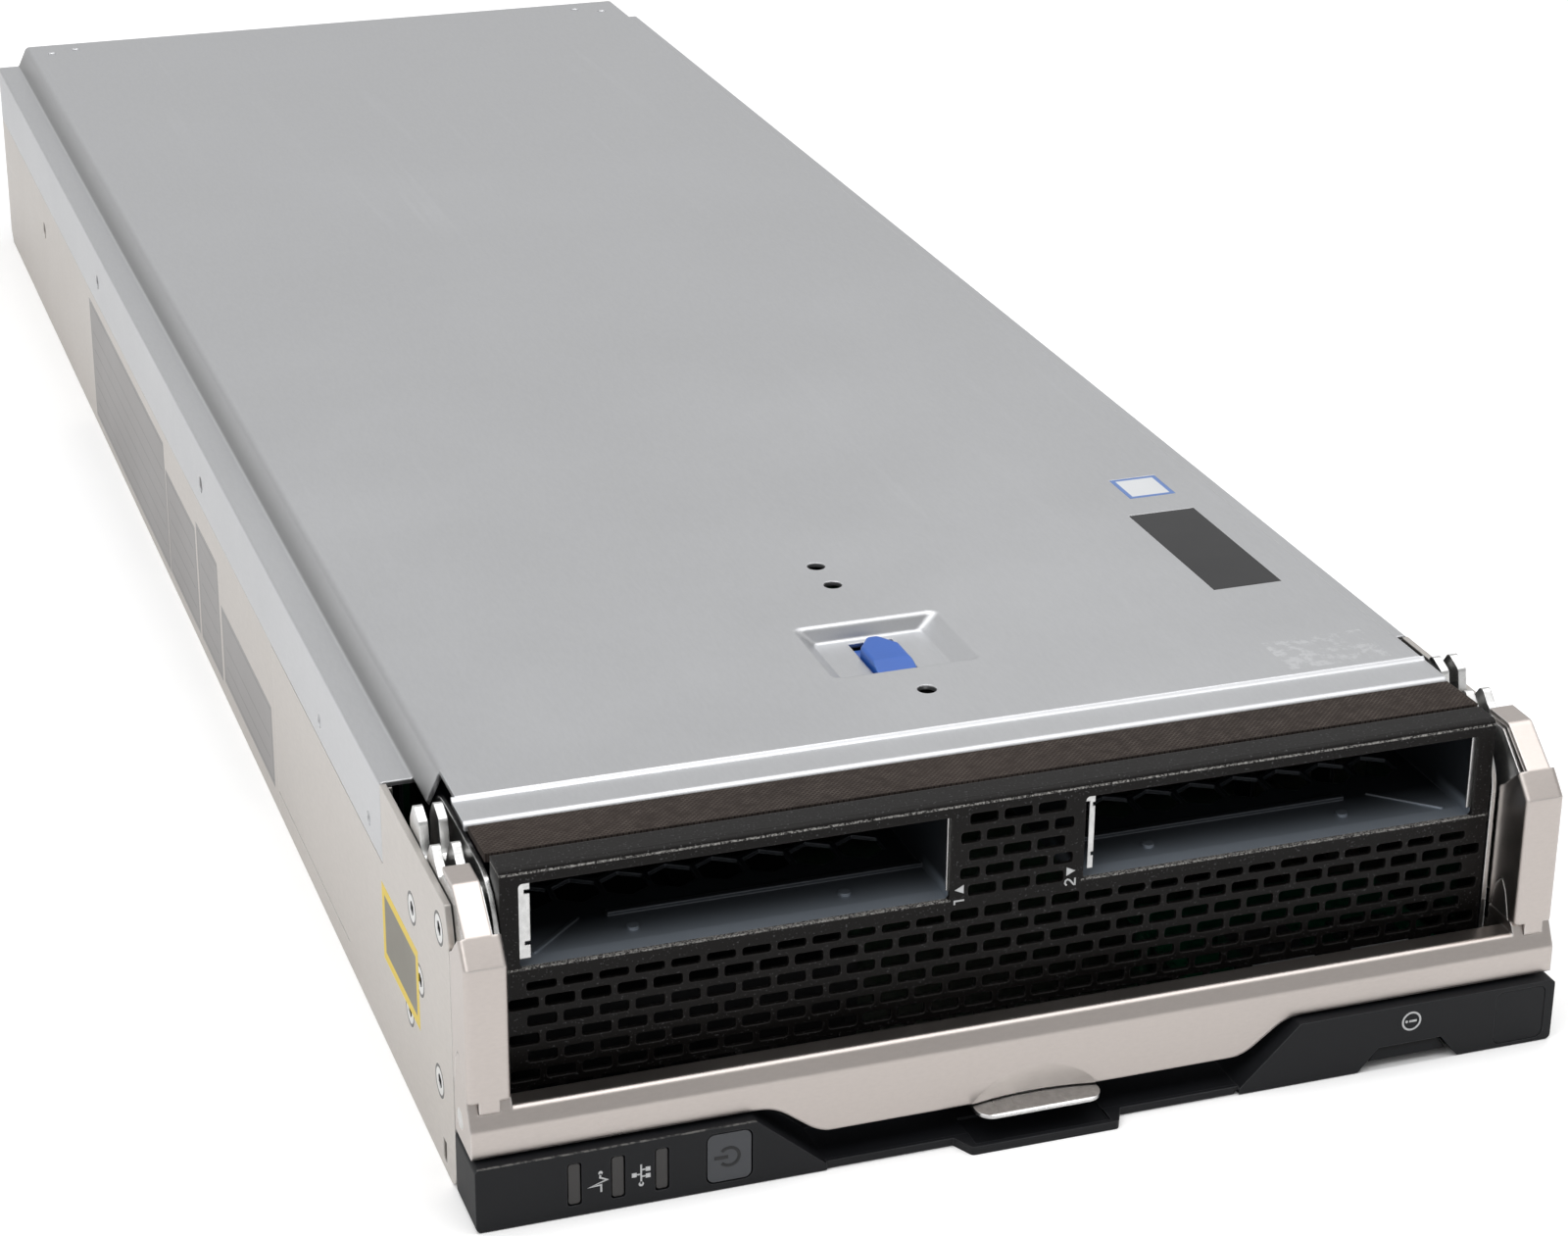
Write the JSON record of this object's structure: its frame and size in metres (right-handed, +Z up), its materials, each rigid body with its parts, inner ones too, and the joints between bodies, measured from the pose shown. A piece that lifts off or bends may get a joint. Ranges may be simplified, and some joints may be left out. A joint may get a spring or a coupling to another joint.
{
  "type": "blade server",
  "caption": "Flat blade server module with a front pull handle, open drive bays, slotted bezel, lift-off top panel and rear plugs.",
  "frame": {"origin": "centre of the footprint, on the plane it rests on", "axes": "+X is the width, towards the right end seen from the front; +Y runs from the handle to the rear plugs; +Z is up, through the access panel"},
  "size_m": [0.215, 0.606, 0.0636],
  "materials": {
    "cover_metal": "satin",
    "tray_metal": "satin",
    "handle_metal": "satin",
    "bright_zinc": "bright",
    "bezel_metal": "satin",
    "black_plastic": "fine texture",
    "button_plastic": "fine texture",
    "blue_plastic": "satin",
    "lens_plastic": "satin",
    "foam": "matt",
    "label_white": "satin",
    "label_black": "satin",
    "label_yellow": "satin",
    "board_green": "coated",
    "chip_black": "matt",
    "lid_metal": "satin",
    "sink_metal": "satin",
    "plug_plastic": "matt",
    "port_metal": "bright",
    "battery_plastic": "matt",
    "cell_metal": "bright"
  },
  "bodies": {
    "chassis": {"base_tray": "tray_metal", "side_plate_left": "tray_metal", "side_plate_right": "tray_metal", "side_screws": "tray_metal", "pivot_bracket_left": "bright_zinc", "pivot_bracket_right": "bright_zinc", "pivot_pins": "bright_zinc", "side_labels": "label_white", "caution_label": "label_yellow", "gasket_strip": "foam", "bezel": "bezel_metal", "bay_edge_strips": "bright_zinc", "drive_cage": "bright_zinc", "drive_backplane": "board_green", "drive_connectors": "plug_plastic", "front_panel": "black_plastic", "badge_blank": "black_plastic", "status_lenses": "lens_plastic", "panel_board": "board_green", "service_board": "board_green", "pull_tab_guide": "black_plastic", "usb_port": "port_metal", "service_port": "port_metal", "backup_battery": "battery_plastic", "system_board": "board_green", "standoffs": "bright_zinc", "board_screws": "bright_zinc", "cpu_sockets": "plug_plastic", "processors": "lid_metal", "heatsink_front": "sink_metal", "heatsink_rear": "sink_metal", "sink_screws": "bright_zinc", "memory_slots": "plug_plastic", "memory_modules": "board_green", "board_parts": "chip_black", "coin_cell": "cell_metal", "mezzanine_cards": "board_green", "mezzanine_sinks": "sink_metal", "mezzanine_connectors": "plug_plastic", "power_plug": "plug_plastic", "guide_block_left": "bright_zinc", "guide_block_right": "bright_zinc", "rear_panel": "tray_metal"},
    "handle": {"handle_bar": "handle_metal", "handle_rivets": "bright_zinc", "handle_arm_left": "handle_metal", "handle_arm_right": "handle_metal", "cam_plates_left": "bright_zinc", "cam_plates_right": "bright_zinc", "pivot_bushes": "bright_zinc", "release_lip_lugs": "handle_metal", "release_lip_pin": "bright_zinc"},
    "release_lip": {"release_lip": "bright_zinc"},
    "access_panel": {"access_panel": "cover_metal", "latch_housing": "black_plastic", "top_label_long": "label_black", "top_label_short": "label_white"},
    "panel_button": {"panel_button": "blue_plastic"},
    "power_button": {"power_button": "button_plastic"},
    "pull_tab": {"pull_tab": "black_plastic"}
  },
  "joints": [
    {"name": "handle_hinge", "type": "hinge", "parent": "chassis", "child": "handle", "pos_m": [0, -0.2624, 0.047], "axis": [-1, 0, 0], "range_deg": [0, 45]},
    {"name": "release_lip_press", "type": "hinge", "parent": "handle", "child": "release_lip", "pos_m": [0, -0.2892, 0.0112], "axis": [1, 0, 0], "range_deg": [0, 12], "stiffness_Nm_per_rad": 0.05, "springref_deg": -5.73},
    {"name": "access_panel_lift", "type": "slide", "parent": "chassis", "child": "access_panel", "axis": [0, 0, 1], "range_m": [0, 0.12]},
    {"name": "panel_button_press", "type": "slide", "parent": "access_panel", "child": "panel_button", "axis": [0, 0, -1], "range_m": [0, 0.0025], "stiffness_N_per_m": 400, "springref_m": -0.002},
    {"name": "power_button_press", "type": "slide", "parent": "chassis", "child": "power_button", "axis": [0, 1, 0], "range_m": [0, 0.001], "stiffness_N_per_m": 400, "springref_m": -0.001},
    {"name": "pull_tab_slide", "type": "slide", "parent": "chassis", "child": "pull_tab", "axis": [0, -1, 0], "range_m": [0, 0.06]}
  ]
}
